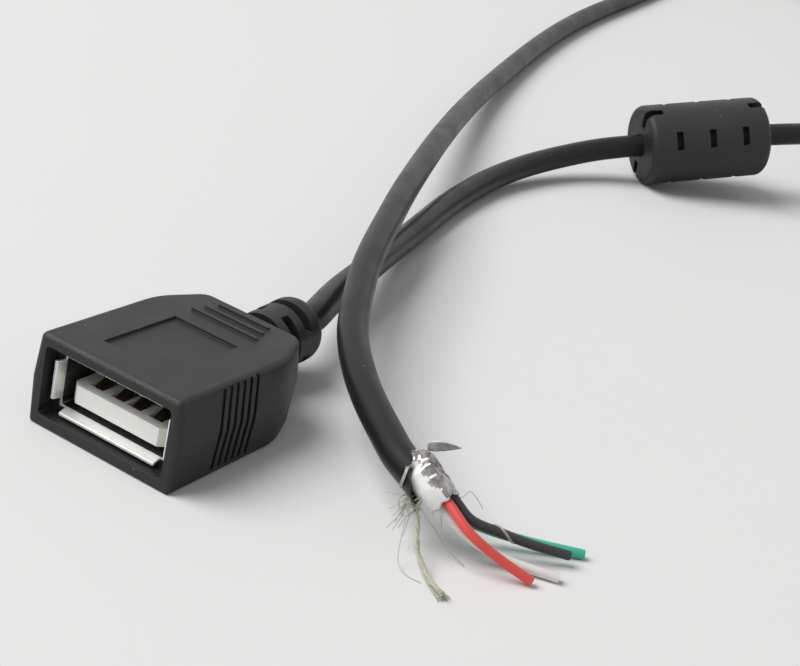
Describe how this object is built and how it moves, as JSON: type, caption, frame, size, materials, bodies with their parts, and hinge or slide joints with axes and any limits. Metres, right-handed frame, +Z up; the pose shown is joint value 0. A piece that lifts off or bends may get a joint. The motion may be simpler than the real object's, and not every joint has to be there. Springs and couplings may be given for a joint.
{
  "type": "usb-a socket cable",
  "caption": "USB-A socket in a black moulding with a slotted strain relief, on a thin screened cable that carries a ferrite bead and ends in stripped coloured wires.",
  "frame": {"origin": "on the moulding's underside, midway between its sides and 14.5 mm behind the mouth's face", "axes": "+X across the socket, +Y from the mouth towards the cable, +Z up"},
  "size_m": [0.1023, 0.2914, 0.0145],
  "materials": {
    "pvc_moulding": "matte black, fine grain",
    "pvc_jacket": "satin black",
    "pe_inner": "natural",
    "shell_steel": "tin plated",
    "insulator_white": "semi gloss white",
    "contact_gold": "gold flashed",
    "solder": "bright",
    "copper": "bare",
    "tinned_strands": "tinned, dull",
    "ferrite": "sintered, dull",
    "foil": "crumpled, bright",
    "wire_red": "satin",
    "wire_black": "satin",
    "wire_green": "satin",
    "wire_white": "satin"
  },
  "bodies": {
    "root": {"socket_overmould": "pvc_moulding", "inner_mould": "pe_inner", "receptacle_shell": "shell_steel", "contact_insulator": "insulator_white", "contact_vbus": "contact_gold", "contact_data_minus": "contact_gold", "contact_data_plus": "contact_gold", "contact_ground": "contact_gold", "contact_solder": "solder", "lead_red": "wire_red", "lead_white": "wire_white", "lead_green": "wire_green", "lead_black": "wire_black", "lead_conductors": "copper", "drain_tail": "tinned_strands", "drain_solder": "solder", "cable_jacket": "pvc_jacket", "ferrite_core": "ferrite", "bead_overmould": "pvc_moulding", "shield_strands": "tinned_strands", "drain_pigtail": "tinned_strands", "foil_wrap": "foil", "wire_red": "wire_red", "wire_black": "wire_black", "wire_green": "wire_green", "wire_white": "wire_white", "wire_conductors": "copper"}
  },
  "joints": []
}
